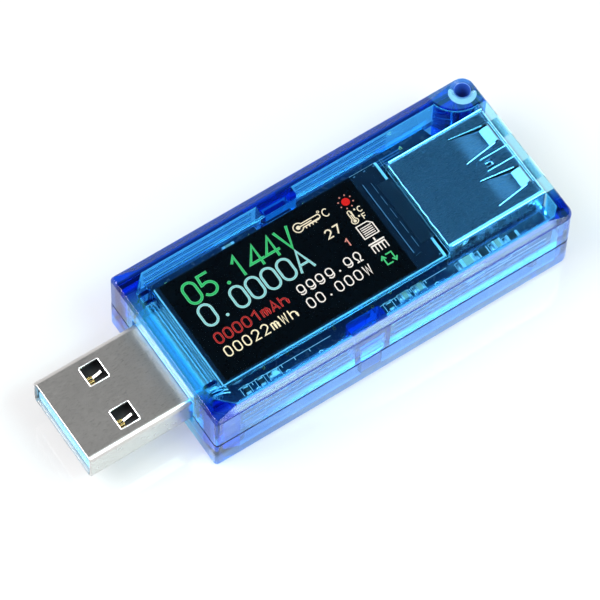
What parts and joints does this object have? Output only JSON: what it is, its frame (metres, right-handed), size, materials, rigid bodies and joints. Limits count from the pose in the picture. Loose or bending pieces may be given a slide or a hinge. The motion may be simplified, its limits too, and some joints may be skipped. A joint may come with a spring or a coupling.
{
  "type": "usb power meter",
  "caption": "Stick-shaped USB power meter in a clear snap-together case, with a type A plug, a type A receptacle, a small display under the roof and a push button below.",
  "frame": {"origin": "centre of the case's flat bottom face, which it rests on; the plug overhangs past -X and isn't counted", "axes": "+X from the plug to the receptacle, along the lines of text; +Z out of the display; +Y towards the lanyard hole's side"},
  "size_m": [0.0629, 0.0222, 0.011],
  "materials": {
    "clear_blue": "clear, tinted blue",
    "steel": "nickel-plated, satin",
    "gold": "gold-plated",
    "blue_plastic": "satin",
    "board_mask": "solder mask",
    "white_plastic": "satin",
    "black_plastic": "moulded",
    "grey_plastic": "moulded",
    "display_glass": "polished",
    "display_face": "glossy film",
    "flex_film": "polyimide film",
    "foam": "matte foam",
    "capacitor_ceramic": "fired ceramic"
  },
  "bodies": {
    "case": {"bottom_cover": "clear_blue", "capacitor_1": "capacitor_ceramic", "capacitor_2": "capacitor_ceramic", "capacitor_3": "capacitor_ceramic", "capacitor_4": "capacitor_ceramic", "capacitor_5": "capacitor_ceramic", "circuit_board": "board_mask", "crystal": "steel", "current_sense_amplifier": "black_plastic", "display_driver_chip": "black_plastic", "display_flex_cable": "flex_film", "display_foam_pad": "foam", "display_glass": "display_glass", "display_polariser": "display_face", "display_tray": "white_plastic", "ferrite_bead": "black_plastic", "memory_chip": "black_plastic", "microcontroller": "black_plastic", "plug_contact_1": "gold", "plug_contact_2": "gold", "plug_contact_3": "gold", "plug_contact_4": "gold", "plug_fast_contact_1": "gold", "plug_fast_contact_2": "gold", "plug_fast_contact_3": "gold", "plug_fast_contact_4": "gold", "plug_fast_contact_5": "gold", "plug_insulator": "blue_plastic", "plug_shell": "steel", "protection_diode": "black_plastic", "receptacle_contact_1": "gold", "receptacle_contact_2": "gold", "receptacle_contact_3": "gold", "receptacle_contact_4": "gold", "receptacle_fast_contact_1": "gold", "receptacle_fast_contact_2": "gold", "receptacle_fast_contact_3": "gold", "receptacle_fast_contact_4": "gold", "receptacle_fast_contact_5": "gold", "receptacle_insulator": "black_plastic", "receptacle_shell": "steel", "resistor_1": "black_plastic", "resistor_2": "black_plastic", "resistor_3": "black_plastic", "shunt_resistor": "black_plastic", "status_light": "white_plastic", "switch_body": "black_plastic", "switch_dome": "steel", "top_cover": "clear_blue", "voltage_regulator": "black_plastic"},
    "button": {"button_cap": "black_plastic"},
    "plunger": {"switch_plunger": "grey_plastic"}
  },
  "joints": [
    {"name": "button_press", "type": "slide", "parent": "case", "child": "button", "axis": [0, 0, 1], "range_m": [0, 0.00025], "stiffness_N_per_m": 4000},
    {"name": "plunger_press", "type": "slide", "parent": "case", "child": "plunger", "axis": [0, 0, 1], "range_m": [0, 0.00025], "deforming": ["switch_dome"]}
  ],
  "couplings": [
    {"joint": "plunger_press", "follows": "button_press", "ratio": 1}
  ]
}
